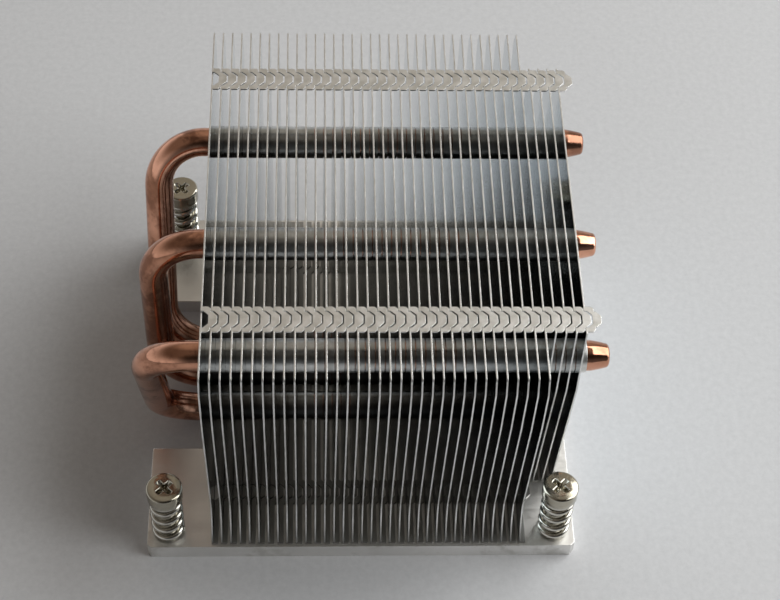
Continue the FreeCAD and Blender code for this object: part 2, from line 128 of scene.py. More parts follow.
def add_node(tree, kind, inputs=None, **settings):
    """One shader node; each input is a value, or a socket to link."""
    node = tree.nodes.new(kind)
    for key, value in settings.items():
        setattr(node, key, value)
    for key, value in (inputs or {}).items():
        if isinstance(value, bpy.types.NodeSocket):
            tree.links.new(value, node.inputs[key])
        else:
            node.inputs[key].default_value = value
    return node


def math_node(tree, operation, *values):
    """The result of a Math node on numbers or sockets."""
    node = add_node(tree, "ShaderNodeMath", operation=operation,
                    inputs=dict(enumerate(values)))
    return node.outputs["Value"]


def ramp(tree, value, low, high, start=0.0, end=1.0, curve="LINEAR"):
    """Turn the range from low to high into the one from start to end."""
    node = add_node(tree, "ShaderNodeMapRange", interpolation_type=curve,
                    inputs={"Value": value, "From Min": low,
                            "From Max": high, "To Min": start,
                            "To Max": end})
    return node.outputs["Result"]


def mix(tree, kind, factor, below, above):
    """Mix two colours (kind RGBA) or two numbers (kind FLOAT)."""
    node = add_node(tree, "ShaderNodeMix", data_type=kind,
                    inputs={"Factor": factor, "A": below, "B": above})
    return node.outputs["Result"]


print("helpers: add_node, math_node, ramp, mix")

# %% [markdown]
# ## A bare material and a bare node group
# Every material ends in a Principled shader, and every node group has an
# input node and an output node. Both could be copied from a template file,
# but building them takes a few lines and hides nothing.

# %% Materials and groups
FLOAT = "NodeSocketFloat"
VECTOR = "NodeSocketVector"


def new_material(name):
    """A material with an empty Principled shader and its output."""
    material = bpy.data.materials.new(name)
    material.use_nodes = True
    tree = material.node_tree
    tree.nodes.clear()
    surface = tree.nodes.new("ShaderNodeBsdfPrincipled")
    output = tree.nodes.new("ShaderNodeOutputMaterial")
    tree.links.new(surface.outputs["BSDF"], output.inputs["Surface"])
    return material, tree, surface


def new_group(name, inputs, outputs):
    """A shader node group with named inputs and outputs."""
    group = bpy.data.node_groups.new(name, "ShaderNodeTree")
    for label, kind, value in inputs:
        socket = group.interface.new_socket(
            name=label, in_out="INPUT", socket_type=kind)
        socket.default_value = value
    for label in outputs:
        group.interface.new_socket(
            name=label, in_out="OUTPUT", socket_type=FLOAT)
    source = group.nodes.new("NodeGroupInput")
    result = group.nodes.new("NodeGroupOutput")
    return group, source, result


print("helpers: new_material, new_group")

# %% [markdown]
# ## Rolled and brushed grain
# Sheet and bar stock is rolled, so it carries fine lines in one direction
# and faint cloudy patches from handling. Noise stretched along one axis
# gives the lines, and a plain larger noise gives the patches. Every metal
# here has some of it, so it is a node group with its own scale and stretch.

# %% Grain group


def make_grain_group():
    """Fine lines that run one way, and cloudy patches."""
    group, source, result = new_group(
        "metal grain",
        [("Line Scale", FLOAT, 900.0), ("Stretch", VECTOR, (1, 1, 1)),
         ("Patch Scale", FLOAT, 60.0)],
        ["Lines", "Patches"])
    place = group.nodes.new("ShaderNodeTexCoord").outputs["Object"]
    stretched = add_node(group, "ShaderNodeVectorMath", operation="MULTIPLY",
                         inputs={0: place, 1: source.outputs["Stretch"]})
    lines = add_node(group, "ShaderNodeTexNoise", inputs={
        "Vector": stretched.outputs["Vector"],
        "Scale": source.outputs["Line Scale"],
        "Detail": 3.0, "Roughness": 0.6})
    patches = add_node(group, "ShaderNodeTexNoise", inputs={
        "Vector": place, "Scale": source.outputs["Patch Scale"],
        "Detail": 4.0, "Roughness": 0.55})
    group.links.new(lines.outputs["Fac"], result.inputs["Lines"])
    group.links.new(patches.outputs["Fac"], result.inputs["Patches"])
    return group


GRAIN = make_grain_group()
print("grain group has", len(GRAIN.nodes), "nodes")

# %% [markdown]
# ## Edge polish and painted edge highlights
# Handling polishes the edges of a metal part before its faces. The Bevel
# node gives the normal that a rounded edge would have. Where it differs from
# the real normal, there is an edge, and the difference makes a mask. The
# metals use it for real polish, and to paint the edges lighter as a painted
# highlight where a rounded edge would catch the lamp.

# %% Edge group
EDGE_GAIN = 4.0


def make_edge_group():
    """White within the given width of an edge."""
    group, source, result = new_group(
        "edge polish and painted highlight", [("Width", FLOAT, 0.3 * MM)], ["Edge"])
    rounded = add_node(group, "ShaderNodeBevel", samples=4,
                       inputs={"Radius": source.outputs["Width"]})
    flat = group.nodes.new("ShaderNodeNewGeometry")
    alike = add_node(group, "ShaderNodeVectorMath", operation="DOT_PRODUCT",
                     inputs={0: rounded.outputs["Normal"],
                             1: flat.outputs["Normal"]})
    away = math_node(group, "SUBTRACT", 1.0, alike.outputs["Value"])
    mask = math_node(group, "MULTIPLY", away, EDGE_GAIN)
    clamp = add_node(group, "ShaderNodeClamp", inputs={"Value": mask})
    group.links.new(clamp.outputs["Result"], result.inputs["Edge"])
    return group


EDGE = make_edge_group()
print("edge group has", len(EDGE.nodes), "nodes")

# %% [markdown]
# ## One recipe for the metals
# All the metals share one recipe: two close colours mixed by the cloudy
# patches, a roughness that follows the rolled lines, edges that are smoother
# and painted lighter, partly as polish and partly as a painted highlight, a
# very fine bump, and edges that catch the light as if they were slightly
# rounded. Only the numbers differ, so one function makes them all.

# %% Metal recipe
PATCH_RANGE = (0.35, 0.65)
LINE_RANGE = (0.3, 0.7)
LINE_DEPTH = 0.03 * MM
LINE_STRENGTH = 0.35
EDGE_RUB = 0.1


def make_metal(name, dark, light, roughness, line_scale, stretch,
               patch_scale=60.0, polish_and_highlight_colour=None, edge_width=0.3 * MM,
               rough_swing=0.12):
    """A metal with grain, patches, and edges that are polished and painted
    lighter as a highlight.
    """
    material, tree, surface = new_material(name)
    surface.inputs["Metallic"].default_value = 1.0
    grain = add_node(tree, "ShaderNodeGroup", node_tree=GRAIN, inputs={
        "Line Scale": line_scale, "Stretch": stretch,
        "Patch Scale": patch_scale})
    lines = grain.outputs["Lines"]
    edge = add_node(tree, "ShaderNodeGroup", node_tree=EDGE, inputs={
        "Width": edge_width}).outputs["Edge"]
    tone = ramp(tree, grain.outputs["Patches"], *PATCH_RANGE)
    cloudy = mix(tree, "RGBA", tone, (*dark, 1), (*light, 1))
    # Edges are painted lighter: partly real polish, partly a painted
    # highlight.
    polished_and_highlit = mix(tree, "RGBA", edge, cloudy, (*(polish_and_highlight_colour or light), 1))
    tree.links.new(polished_and_highlit, surface.inputs["Base Color"])
    rough = ramp(tree, lines, *LINE_RANGE, roughness - rough_swing / 2,
                 roughness + rough_swing / 2)
    smoother = math_node(tree, "MULTIPLY", edge, EDGE_RUB)
    rubbed = math_node(tree, "SUBTRACT", rough, smoother)
    tree.links.new(rubbed, surface.inputs["Roughness"])
    rounded = add_node(tree, "ShaderNodeBevel", samples=6, inputs={
        "Radius": edge_width / 2})
    bump = add_node(tree, "ShaderNodeBump", inputs={
        "Strength": LINE_STRENGTH, "Distance": LINE_DEPTH,
        "Height": lines, "Normal": rounded.outputs["Normal"]})
    tree.links.new(bump.outputs["Normal"], surface.inputs["Normal"])
    return material


print("recipe mixes", GRAIN.name, "and", EDGE.name)

# %% [markdown]
# ## The metals of a heatsink
# The fins are rolled sheet, with fine lines along Y, and the base plate is
# milled along X. The pipes are drawn copper, bright and smooth, and the
# screws and springs have a warm, smooth nickel plating. The clips are
# blackened steel. A metal's colour is the tint of what it mirrors, so the
# two close colours of each differ in lightness more than in tint.

# %% Finishes
finish = {
    "fin": make_metal(
        "rolled fin aluminium", dark=(0.72, 0.72, 0.69),
        light=(0.95, 0.95, 0.94), roughness=0.34, line_scale=700,
        stretch=(1, 0.12, 1), patch_scale=420,
        polish_and_highlight_colour=(0.94, 0.94, 0.93), edge_width=0.2 * MM,
        rough_swing=0.08),
    "base": make_metal(
        "milled base aluminium", dark=(0.74, 0.73, 0.71),
        light=(0.87, 0.86, 0.84), roughness=0.36, line_scale=500,
        stretch=(0.15, 1, 1), polish_and_highlight_colour=(0.92, 0.92, 0.90),
        edge_width=0.4 * MM),
    "copper": make_metal(
        "drawn copper", dark=(0.50, 0.24, 0.15),
        light=(0.90, 0.47, 0.32), roughness=0.10, line_scale=500,
        stretch=(0.1, 1, 1), patch_scale=110,
        polish_and_highlight_colour=(0.95, 0.56, 0.38)),
    "nickel": make_metal(
        "nickel plating", dark=(0.42, 0.39, 0.32),
        light=(0.60, 0.57, 0.48), roughness=0.14, line_scale=900,
        stretch=(1, 1, 1), polish_and_highlight_colour=(0.95, 0.93, 0.88)),
    "wire": make_metal(
        "nickel spring wire", dark=(0.50, 0.48, 0.43),
        light=(0.70, 0.68, 0.62), roughness=0.14, line_scale=900,
        stretch=(1, 1, 0.5)),
    "clip": make_metal(
        "blackened clip steel", dark=(0.06, 0.06, 0.06),
        light=(0.14, 0.13, 0.12), roughness=0.42, line_scale=900,
        stretch=(1, 1, 1), polish_and_highlight_colour=(0.3, 0.29, 0.27)),
}
print("finishes:", ", ".join(finish))

# %% [markdown]
# ## A second finish over the first: smooth fin faces with painted shade
# Some of the metals are not the same all over. That is always the same job:
# a second colour and roughness laid over the first through a mask, so one
# helper does it. A second material on chosen faces would give hard borders.
#
# Its first use is on the fins. Their two big faces keep the smooth skin of
# the rolling mill, so they mirror each other. They are also painted a darker,
# bluish grey, so that each bounce between them loses more light: this is
# painted shade that makes the deep gaps go dark. The bent tabs and the
# sheared edges are rougher and brighter. The direction of the surface tells
# them apart, since the big faces look along X. Painting every fin by hand
# would be far more work.

# %% Fin faces
FACE_DIRECTION = (0.8, 0.98)
FACE_SHADE_COLOUR = (0.57, 0.63, 0.67)
FACE_ROUGHNESS = 0.12


def lay_over(material, mask, colour, roughness):
    """Mix another colour and roughness in wherever the mask is white."""
    tree = material.node_tree
    surface = tree.nodes["Principled BSDF"]
    for label, kind, value in (("Base Color", "RGBA", (*colour, 1)),
                               ("Roughness", "FLOAT", roughness)):
        socket = surface.inputs[label]
        below = socket.links[0].from_socket
        tree.links.new(mix(tree, kind, mask, below, value), socket)


def axis_of(tree, system, axis):
    """One axis of a coordinate system, such as Object or Normal."""
    place = tree.nodes.new("ShaderNodeTexCoord")
    parts = add_node(tree, "ShaderNodeSeparateXYZ",
                     inputs={"Vector": place.outputs[system]})
    return parts.outputs[axis]


fin_tree = finish["fin"].node_tree
along_x = math_node(fin_tree, "ABSOLUTE", axis_of(fin_tree, "Normal", "X"))
# The big faces get a darker, bluish grey: painted shade in the gaps.
lay_over(finish["fin"], ramp(fin_tree, along_x, *FACE_DIRECTION),
         FACE_SHADE_COLOUR, FACE_ROUGHNESS)
print("fin finish has", len(fin_tree.nodes), "nodes with its smooth faces")

# %% [markdown]
# ## Darker, duller fin feet
# The feet are soldered to the base plate. Towards the bottom the fins are
# made darker grey and duller. This fades out a few millimetres up, so the
# mask is the height over the contact face. Noise could break up its border,
# but between the fins that would hardly be seen.

# %% Fin feet
DARK_FOOT_FULL = 4.2 * MM
DARK_FOOT_GONE = 9.0 * MM
DARK_FOOT_SHARE = 0.85
DARK_FOOT_COLOUR = (0.27, 0.27, 0.26)
DARK_FOOT_ROUGHNESS = 0.4

height = axis_of(fin_tree, "Object", "Z")
# The fins are made darker grey and duller towards the bottom.
lay_over(finish["fin"],
         ramp(fin_tree, height, DARK_FOOT_FULL, DARK_FOOT_GONE, DARK_FOOT_SHARE, 0.0),
         DARK_FOOT_COLOUR, DARK_FOOT_ROUGHNESS)
print("fin finish has", len(fin_tree.nodes), "nodes with its dull feet")

# %% [markdown]
# ## Stains
# Bare copper browns where it was heated and handled, nickel keeps thin oily
# stains, and the base plate has dull fingermarks. A large noise says where
# the stain lies, and a finer one breaks up its border. The share says how
# much of the surface it takes.

# %% Stain group
STAIN_BORDER = (1.05, 1.22)
CRUMB_FINENESS = 9.0
CRUMB_SHARE = 0.25


def make_stain_group():
    """White where a stain lies."""
    group, source, result = new_group(
        "stain", [("Scale", FLOAT, 80.0), ("Share", FLOAT, 0.5)], ["Stain"])
    place = group.nodes.new("ShaderNodeTexCoord").outputs["Object"]
    scale = source.outputs["Scale"]
    cloud = add_node(group, "ShaderNodeTexNoise", inputs={
        "Vector": place, "Scale": scale, "Detail": 5.0,
        "Roughness": 0.65, "Distortion": 0.6})
    crumbs = add_node(group, "ShaderNodeTexNoise", inputs={
        "Vector": place, "Detail": 2.0,
        "Scale": math_node(group, "MULTIPLY", scale, CRUMB_FINENESS)})
    broken = math_node(group, "MULTIPLY_ADD", crumbs.outputs["Fac"],
                       CRUMB_SHARE, cloud.outputs["Fac"])
    level = math_node(group, "ADD", broken, source.outputs["Share"])
    mask = ramp(group, level, *STAIN_BORDER, curve="SMOOTHSTEP")
    group.links.new(mask, result.inputs["Stain"])
    return group


def stain(material, scale, share, colour, roughness):
    """Lay a stain over a finished metal."""
    group = add_node(material.node_tree, "ShaderNodeGroup", node_tree=STAIN,
                     inputs={"Scale": scale, "Share": share})
    lay_over(material, group.outputs["Stain"], colour, roughness)


STAIN = make_stain_group()
stain(finish["copper"], scale=90, share=0.5,
      colour=(0.36, 0.17, 0.11), roughness=0.2)
stain(finish["nickel"], scale=260, share=0.42,
      colour=(0.46, 0.42, 0.33), roughness=0.24)
stain(finish["base"], scale=60, share=0.4,
      colour=(0.66, 0.65, 0.62), roughness=0.42)
print("stain group has", len(STAIN.nodes), "nodes")

# %% [markdown]
# ## Dress the CAD solids
# The fins and the base plate have their true shape in the CAD model, with
# the drawn collars round the pipes and the interlocking tabs. They stay,
# and only take a finish: the material is assigned to the slot of the node.

# %% Dress the CAD nodes
for name in FIN_NODES:
    nodes[name].material_slots[0].material = finish["fin"]
nodes["base_plate"].material_slots[0].material = finish["base"]
for corner in CORNERS:
    clip = nodes["retaining_clip_" + corner]
    clip.material_slots[0].material = finish["clip"]
print("dressed", len(FIN_NODES) + 1 + len(CORNERS), "CAD nodes")

# %% [markdown]
# ## Meshes from rings
# Pipes, wires and turned parts are all the same kind of mesh: a row of rings
# of points, joined by quads. One function joins the rings and closes both
# ends, and each piece only has to say where its rings are.

# %% Ring meshes


def ring(centre, side, up, radius, sides, squash=1.0):
    """Points round a centre, in the plane of side and up."""
    points = []
    for i in range(sides):
        angle = 2 * math.pi * i / sides
        points.append(centre + side * (radius * math.cos(angle) / squash)
                      + up * (radius * squash * math.sin(angle)))
    return points


def join_rings(rings):
    """Quads between the rings, and a face at each end."""
    mesh = bmesh.new()
    rows = [[mesh.verts.new(point) for point in points] for points in rings]
    sides = len(rows[0])
    for row, following in zip(rows, rows[1:]):
        for i in range(sides):
            j = (i + 1) % sides
            mesh.faces.new((row[i], row[j], following[j], following[i]))
    mesh.faces.new(list(reversed(rows[0])))
    mesh.faces.new(rows[-1])
    return mesh


def new_object(name, mesh):
    """An object from a closed mesh, with its faces turned outwards."""
    bmesh.ops.recalc_face_normals(mesh, faces=mesh.faces)
    data = bpy.data.meshes.new(name)
    mesh.to_mesh(data)
    mesh.free()
    piece = bpy.data.objects.new(name, data)
    bpy.context.scene.collection.objects.link(piece)
    return piece


def mesh_from_rings(name, rings, material):
    """A smooth shaded piece through rings of points."""
    piece = new_object(name, join_rings(rings))
    piece.data.shade_smooth()
    piece.data.materials.append(material)
    return piece


print("helpers: ring, join_rings, new_object, mesh_from_rings")

# %% [markdown]
# ## Where the heat pipes run
# Each pipe is a C: the upper leg carries the fins, the lower leg lies on the
# base plate, and two bends and a short riser join them. The outer pipes lean,
# because their lower legs crowd together over the processor. The box of the
# CAD node says where the two legs are, so nothing but the end of the lower
# leg has to be typed: it is hidden under the fins, and the box doesn't show
# it, since the upper leg is longer.

# %% Pipe legs
PIPE_RADIUS = 3.0 * MM
LOWER_LEG_END = 37.0 * MM


def pipe_ends(node):
    """Ends of the upper and the lower leg, and the pipe's reach in X."""
    low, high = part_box(node)
    if abs(low.y + high.y) < PIPE_RADIUS:
        upper_y = lower_y = (low.y + high.y) / 2
    elif low.y + high.y < 0:
        upper_y, lower_y = low.y + PIPE_RADIUS, high.y - PIPE_RADIUS
    else:
        upper_y, lower_y = high.y - PIPE_RADIUS, low.y + PIPE_RADIUS
    upper = Vector((high.x, upper_y, high.z - PIPE_RADIUS))
    lower = Vector((LOWER_LEG_END, lower_y, low.z + PIPE_RADIUS))
    return upper, lower, low.x + PIPE_RADIUS


for node in PIPE_NODES:
    upper, lower, reach = pipe_ends(node)
    print(node, "legs at Y", round(upper.y / MM, 1), "and",
          round(lower.y / MM, 1), "mm")

# %% [markdown]
# ## Pinched tips
# A heat pipe is closed by pinching its end in a die, which leaves a short
# taper and a small rounded nose. The tip is a list of pairs: how far back
# from the end, and the radius there. A quarter circle gives the nose, and a
# curve that is steeper near the nose gives the taper.

# %% Tip profile
TIP_LENGTH = 3.6 * MM
NOSE_RADIUS = 2.4 * MM
NOSE_ROUND = 0.8 * MM
TAPER_POWER = 0.8
TIP_STEPS = 6


def make_tip_profile():
    """Distance back from the end, and radius, from the nose on."""
    profile = []
    for step in range(TIP_STEPS, -1, -1):
        turn = math.pi / 2 * step / TIP_STEPS
        profile.append((NOSE_ROUND * (1 - math.sin(turn)),
                        NOSE_RADIUS - NOSE_ROUND * (1 - math.cos(turn))))
    for step in range(1, TIP_STEPS + 1):
        share = step / TIP_STEPS
        profile.append((
            NOSE_ROUND + (TIP_LENGTH - NOSE_ROUND) * share,
            NOSE_RADIUS + (PIPE_RADIUS - NOSE_RADIUS) * share ** TAPER_POWER))
    return profile


TIP_PROFILE = make_tip_profile()
print("tip profile has", len(TIP_PROFILE), "rings")

# %% [markdown]
# ## The parts of a pipe
# A tube bent over a former goes slightly oval in the bend, which a plain
# swept circle doesn't have. So each pipe is a row of rings, squashed a
# little inside the bends. A pipe has three kinds of part: pinched tips,
# straight legs and quarter bends, and each has a function of its own.

# %% Tips, legs and bends
PIPE_BEND = 10.0 * MM
PIPE_SIDES = 48
LEG_STEPS = 24
BEND_STEPS = 28
BEND_OVAL = 0.97


def tip_rings(end, side, up, profile):
    """Rings of a pinched tip, placed back from its end."""
    return [ring(Vector((end.x - back, end.y, end.z)), side, up, radius,
                 PIPE_SIDES) for back, radius in profile]


def leg_rings(end, start_x, stop_x, side, up):
    """Round rings along a straight leg."""
    rings = []
    for i in range(1, LEG_STEPS + 1):
        x = start_x + (stop_x - start_x) * i / LEG_STEPS
        rings.append(ring(Vector((x, end.y, end.z)), side, up, PIPE_RADIUS,
                          PIPE_SIDES))
    return rings


def bend_rings(centre, start, stop, side):
    """Slightly oval rings, a quarter turn from one spoke to another."""
    rings = []
    for i in range(BEND_STEPS + 1):
        angle = math.pi / 2 * i / BEND_STEPS
        spoke = start * math.cos(angle) + stop * math.sin(angle)
        oval = 1 - (1 - BEND_OVAL) * math.sin(2 * angle)
        rings.append(ring(centre + spoke * PIPE_BEND, side, spoke,
                          PIPE_RADIUS, PIPE_SIDES, oval))
    return rings


print("a quarter bend takes", round(math.pi / 2 * PIPE_BEND / MM, 1),
      "mm of pipe")

# %% [markdown]
# ## Heat pipes
# The parts are put one after the other along the loop: the upper tip, the
# upper leg, two bends with the riser between them, the lower leg, and the
# lower tip. Each finished pipe rides on the heatsink's one solid body, and
# stands for the plainer pipe of the CAD model.

# %% Heat pipes


def pipe_rings(node):
    """Rings from the upper tip, round the loop, to the lower tip."""
    upper, lower, reach = pipe_ends(node)
    rise = upper - lower
    rise.x = 0
    rise.normalize()
    out = Vector((1, 0, 0))
    side = out.cross(rise)
    bend_x = reach + PIPE_BEND
    top = Vector((bend_x, upper.y, upper.z)) - rise * PIPE_BEND
    bottom = Vector((bend_x, lower.y, lower.z)) + rise * PIPE_BEND
    return (tip_rings(upper, side, rise, TIP_PROFILE)
            + leg_rings(upper, upper.x - TIP_LENGTH, bend_x, side, rise)
            + bend_rings(top, rise, -out, side)[1:]
            + bend_rings(bottom, -out, -rise, side)
            + leg_rings(lower, bend_x, lower.x - TIP_LENGTH, side, -rise)
            + tip_rings(lower, side, -rise, reversed(TIP_PROFILE[:-1])))


for node in PIPE_NODES:
    pipe = mesh_from_rings(node + "_drawn", pipe_rings(node),
                           finish["copper"])
    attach(pipe, "root")
    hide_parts(node)
    print(node, "has", len(pipe.data.polygons), "faces")

# %% [markdown]
# ## The wire of a spring
# A compression spring has an open middle and closed ends: the last turn lies
# against its neighbour and is ground flat, so that it sits square on the
# plate and under the screw head. A helix modifier gives even turns only, so
# the rings are placed in code, with a pitch that tightens at both ends. The
# ring points past a ground face are moved back to it.

# %% Spring wire
SPRING_RADIUS = 3.4 * MM
WIRE_RADIUS = 0.625 * MM
WIRE_SIDES = 16
STEPS_A_TURN = 40
CLOSED_TURNS = 0.8
OPEN_TURNS = 3.35
CLOSED_PITCH = 2.02
WIRE_LEFT = 0.55


def spring_rings(centre, low, high):
    """Rings of wire from the ground lower end to the upper one."""
    turns = OPEN_TURNS + 2 * CLOSED_TURNS
    steps = int(turns * STEPS_A_TURN)
    start = low + WIRE_RADIUS * WIRE_LEFT
    stop = high - WIRE_RADIUS * WIRE_LEFT
    closed_rise = CLOSED_TURNS * WIRE_RADIUS * CLOSED_PITCH
    coil = SPRING_RADIUS - WIRE_RADIUS
    rings = []
    for i in range(steps + 1):
        turn = turns * i / steps
        if turn < CLOSED_TURNS:
            z = start + closed_rise * turn / CLOSED_TURNS
        elif turn > turns - CLOSED_TURNS:
            z = stop - closed_rise * (turns - turn) / CLOSED_TURNS
        else:
            share = (turn - CLOSED_TURNS) / OPEN_TURNS
            z = start + closed_rise + share * (stop - start
                                               - 2 * closed_rise)
        angle = 2 * math.pi * turn
        spoke = Vector((math.cos(angle), math.sin(angle), 0))
        middle = Vector((centre.x, centre.y, z)) + spoke * coil
        points = ring(middle, spoke, Vector((0, 0, 1)), WIRE_RADIUS,
                      WIRE_SIDES)
        for point in points:
            point.z = min(max(point.z, low), high)
        rings.append(points)
    return rings


print("spring has", OPEN_TURNS + 2 * CLOSED_TURNS, "turns")

# %% [markdown]
# ## Springs
# Each spring stands on the plate, and the screw head rests on it. It doesn't
# ride on the screw, because its lower end stays where it is. Each spring
# gets a mesh of its own.

for corner in CORNERS:
    low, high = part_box("spring_" + corner)
    spring = mesh_from_rings("spring_wire_" + corner, spring_rings(
        (low + high) / 2, low.z, high.z), finish["wire"])
    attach(spring, "root")
    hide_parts("spring_" + corner)
    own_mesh(spring)

# %% [markdown]
# ## The turned screw
# Each screw is turned from bar: a cylindrical head with a chamfered rim, a
# plain shank inside the spring, a neck that holds the clip, and a short
# threaded end. A lathe makes exactly a stack of rings, so that is how it is
# built here. A profile turned by the Screw modifier would do too, but it
# couldn't carry the thread in the same mesh.

# %% Turned profile
HEAD_RADIUS = 3.65 * MM
HEAD_HEIGHT = 3.3 * MM
HEAD_CHAMFER = 0.35 * MM
FILLET = 0.12 * MM
SHANK_RADIUS = 1.9 * MM
NECK_RADIUS = 1.5 * MM
NECK_START = 1.4 * MM
NECK_END = 2.1 * MM
ROOT_RADIUS = 1.66 * MM


def turned_profile(low, high):
    """Height and radius of the turned screw, from the neck to the head."""
    seat, rim = high - HEAD_HEIGHT, high - HEAD_CHAMFER
    neck_low, neck_high = low + NECK_START, low + NECK_END
    return [
        (neck_low, ROOT_RADIUS), (neck_low, NECK_RADIUS),
        (neck_high, NECK_RADIUS), (neck_high, SHANK_RADIUS),
        ((neck_high + seat) / 2, SHANK_RADIUS),
        (seat - FILLET, SHANK_RADIUS), (seat, SHANK_RADIUS + FILLET),
        (seat, HEAD_RADIUS - 2 * FILLET),
        (seat + FILLET * 0.6, HEAD_RADIUS - FILLET * 0.6),
        (seat + 2 * FILLET, HEAD_RADIUS),
        ((seat + rim) / 2, HEAD_RADIUS), (rim, HEAD_RADIUS),
        (rim + FILLET * 0.6, HEAD_RADIUS - FILLET * 0.35),
        (high - FILLET * 0.5, HEAD_RADIUS - HEAD_CHAMFER * 0.8),
        (high, HEAD_RADIUS - HEAD_CHAMFER * 1.3),
    ]


screw_low, screw_high = (end.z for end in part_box("screw_" + CORNERS[0]))
print("screw profile has", len(turned_profile(screw_low, screw_high)),
      "rings over", round((screw_high - screw_low) / MM, 2), "mm")

# %% [markdown]
# ## The thread
# A thread is a ridge that climbs by one pitch in each turn round the axis.
# On rings of points it is a change of radius that depends on the height and
# on the angle. It fades out at both ends, where the die runs in and out. A
# helix joined to the core would need a clean union for the same look.

# %% Thread
CREST_RADIUS = 1.98 * MM
THREAD_PITCH = 0.7 * MM
THREAD_STEPS = 16
THREAD_RUN_OUT = 0.2
SCREW_SIDES = 72


def thread_rings(low, top):
    """Rings whose radius rises and falls with the helix of the thread."""
    rings = []
    for step in range(THREAD_STEPS + 1):
        share = step / THREAD_STEPS
        z = low + (top - low) * share
        fade = min(1.0, share / THREAD_RUN_OUT,
                   (1 - share) / THREAD_RUN_OUT)
        points = []
        for i in range(SCREW_SIDES):
            angle = 2 * math.pi * i / SCREW_SIDES
            phase = (z / THREAD_PITCH - i / SCREW_SIDES) % 1.0
            ridge = 1 - abs(2 * phase - 1)
            radius = (ROOT_RADIUS + (CREST_RADIUS - ROOT_RADIUS)
                      * ridge * fade)
            points.append(Vector((radius * math.cos(angle),
                                  radius * math.sin(angle), z)))
        rings.append(points)
    return rings


print("thread stands", round((CREST_RADIUS - ROOT_RADIUS) / MM, 2),
      "mm high")

# %% [markdown]
# ## The cross recess
# A punch presses the cross into the head. It narrows towards its point, and
# the metal flares a little at the top. The cutter has the form of the punch,
# again as a row of rings, each with four arms.

# %% Recess cutter
CROSS_SPAN = 1.85 * MM
CROSS_WIDTH = 0.475 * MM
CROSS_DEPTH = 2.0 * MM
CROSS_FLARE = 0.14 * MM
ARM_ROUND = 0.2
CUTTER_ABOVE = 0.2 * MM


def cross_ring(span, width, z):
    """A cross with four arms, their ends a little rounded."""
    points = []
    for quarter in range(4):
        turn = Matrix.Rotation(math.pi / 2 * quarter + math.pi / 4, 3, "Z")
        shoulder = span - ARM_ROUND * width
        for x, y in ((shoulder, -width), (span, -width / 2),
                     (span, width / 2), (shoulder, width),
                     (width, width)):
            points.append(turn @ Vector((x, y, z)))
    return points


def recess_cutter(high):
    """A tapered cross, flared at the top, that presses the recess."""
    rings = [cross_ring(CROSS_SPAN + more_span, CROSS_WIDTH + more_width,
                        high + height)
             for height, more_span, more_width in (
                 (CUTTER_ABOVE, CROSS_FLARE, CROSS_FLARE),
                 (0.0, CROSS_FLARE, CROSS_FLARE),
                 (-CROSS_FLARE, 0.0, 0.0),
                 (-CROSS_DEPTH * 0.7, -0.75 * MM, -0.1 * MM),
                 (-CROSS_DEPTH, -1.35 * MM, -0.25 * MM))]
    mesh = join_rings(rings)
    bmesh.ops.triangulate(mesh, faces=mesh.faces)
    return new_object("recess cutter", mesh)


print("recess is", round(CROSS_DEPTH / MM, 2), "mm deep")

# %% [markdown]
# ## Screws
# The rings of the thread and of the profile make one closed mesh, and a
# Boolean modifier cuts the recess. The four screws are alike, so they share
# that mesh, and each object only has its own place. Each rides on the body
# of its own screw, and so goes down and turns with it.

# %% Screws
TIP_CHAMFER = 0.15 * MM
TIP_SHARE = 0.8
THREAD_GAP = 0.05 * MM
SHARP_ANGLE = math.radians(28)


def make_screw_mesh(low, high):
    """The whole screw, on the Z axis, with its recess cut."""
    up = Vector((0, 0, 1))
    east, north = Vector((1, 0, 0)), Vector((0, 1, 0))
    rings = [ring(up * low, east, north, ROOT_RADIUS * TIP_SHARE,
                  SCREW_SIDES)]
    rings += thread_rings(low + TIP_CHAMFER, low + NECK_START - THREAD_GAP)
    rings += [ring(up * z, east, north, radius, SCREW_SIDES)
              for z, radius in turned_profile(low, high)]
    screw = mesh_from_rings("turned screw", rings, finish["nickel"])
    cutter = recess_cutter(high)
    cut = screw.modifiers.new("recess", "BOOLEAN")
    cut.operation = "DIFFERENCE"
    cut.object = cutter
    cut.solver = "EXACT"
    graph = bpy.context.evaluated_depsgraph_get()
    mesh = bpy.data.meshes.new_from_object(screw.evaluated_get(graph))
    bpy.data.objects.remove(screw)
    bpy.data.objects.remove(cutter)
    mesh.shade_smooth()
    mesh.set_sharp_from_angle(angle=SHARP_ANGLE)
    return mesh


screw_mesh = make_screw_mesh(screw_low, screw_high)
for corner in CORNERS:
    low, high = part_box("screw_" + corner)
    screw = bpy.data.objects.new("turned_screw_" + corner, screw_mesh)
    screw.location = ((low.x + high.x) / 2, (low.y + high.y) / 2, 0)
    bpy.context.scene.collection.objects.link(screw)
    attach(screw, "screw_" + corner)
    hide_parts("screw_" + corner)
print("screw mesh has", len(screw_mesh.polygons), "faces")

# %% [markdown]
# ## Floor
# The object stands on a plain pale board with a faint speckle. A large plane
# is enough, with fine noise in its colour and its bump.

# %% Floor
FLOOR_SIZE = 6
BOARD_DARK = (0.52, 0.525, 0.54)
BOARD_LIGHT = (0.70, 0.705, 0.72)
BOARD_ROUGHNESS = 0.7
SPECK_SCALE = 700.0
SPECK_DEPTH = 0.05 * MM


